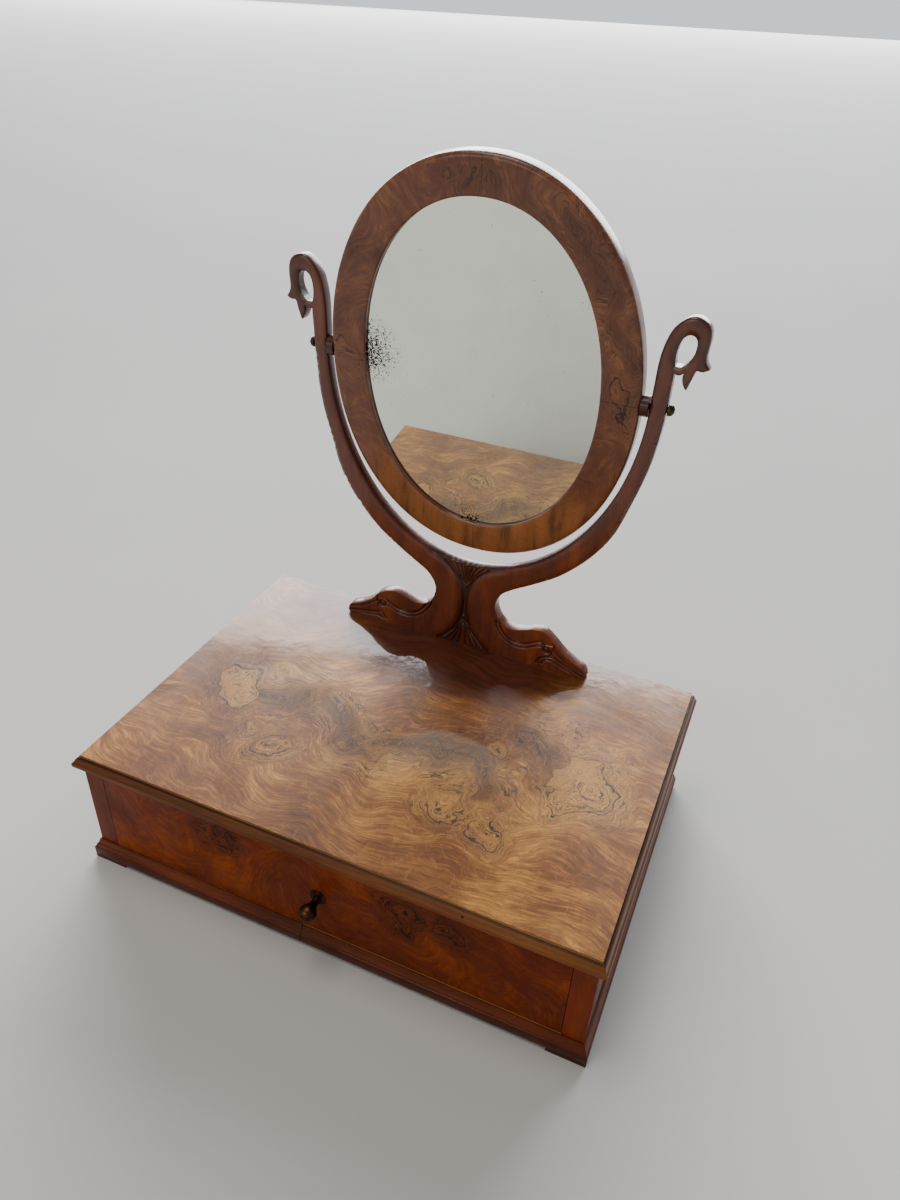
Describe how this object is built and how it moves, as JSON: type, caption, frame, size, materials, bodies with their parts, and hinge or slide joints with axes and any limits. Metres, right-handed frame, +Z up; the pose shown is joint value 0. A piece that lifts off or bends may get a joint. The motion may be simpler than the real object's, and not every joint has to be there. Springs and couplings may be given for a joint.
{
  "type": "table top dressing mirror with drawer",
  "caption": "Low box with one full-width drawer, carrying a carved lyre-shaped stand in which an oval mirror tilts on side pivots.",
  "frame": {"origin": "middle of the whole object's box at the underside of the feet", "axes": "+X along the front to the viewer's right, +Y away from the viewer, +Z up"},
  "size_m": [0.46, 0.3366, 0.5686],
  "materials": {
    "burl": "polished burr walnut veneer",
    "walnut": "french polished walnut",
    "moulding": "polished walnut moulding",
    "oak": "unpolished secondary wood",
    "pine": "unpolished pine board",
    "brass": "aged brass",
    "steel": "dull iron",
    "mirror": "old silvered glass"
  },
  "bodies": {
    "case": {"top_board": "pine", "top_veneer": "burl", "top_moulding_front": "moulding", "top_moulding_left": "moulding", "top_moulding_right": "moulding", "side_left": "walnut", "side_right": "walnut", "back_board": "pine", "bottom_board": "pine", "stile_left": "walnut", "stile_right": "walnut", "base_moulding_front_left": "moulding", "base_moulding_front_right": "moulding", "base_moulding_left": "moulding", "base_moulding_right": "moulding", "feet": "moulding", "drawer_guides": "oak", "drawer_stops": "oak", "glue_blocks": "pine", "swan_left": "walnut", "swan_right": "walnut", "stand_dowels": "oak", "stand_screws": "steel"},
    "drawer": {"drawer_front": "pine", "drawer_veneer": "burl", "drawer_side_left": "oak", "drawer_side_right": "oak", "drawer_back": "oak", "drawer_bottom": "oak", "drawer_knob": "brass", "knob_collar": "brass", "knob_screw": "steel"},
    "mirror": {"frame_ring": "walnut", "frame_veneer_top_left": "burl", "frame_veneer_top_right": "burl", "frame_veneer_bottom_left": "burl", "frame_veneer_bottom_right": "burl", "mirror_glass": "mirror", "mirror_back": "pine", "back_brads": "steel", "pivot_boss_left": "walnut", "pivot_boss_right": "walnut", "pivot_nut_left": "brass", "pivot_nut_right": "brass"},
    "screw_left": {"pivot_screw_left": "brass"},
    "screw_right": {"pivot_screw_right": "brass"}
  },
  "joints": [
    {"name": "drawer_slide", "type": "slide", "parent": "case", "child": "drawer", "axis": [0, -1, 0], "range_m": [0, 0.22]},
    {"name": "mirror_tilt", "type": "hinge", "parent": "case", "child": "mirror", "pos_m": [0, 0.14283, 0.399], "axis": [1, 0, 0], "continuous": true},
    {"name": "screw_left_turn", "type": "hinge", "parent": "mirror", "child": "screw_left", "pos_m": [0, 0.14283, 0.399], "axis": [1, 0, 0], "continuous": true},
    {"name": "screw_right_turn", "type": "hinge", "parent": "mirror", "child": "screw_right", "pos_m": [0, 0.14283, 0.399], "axis": [1, 0, 0], "continuous": true}
  ]
}
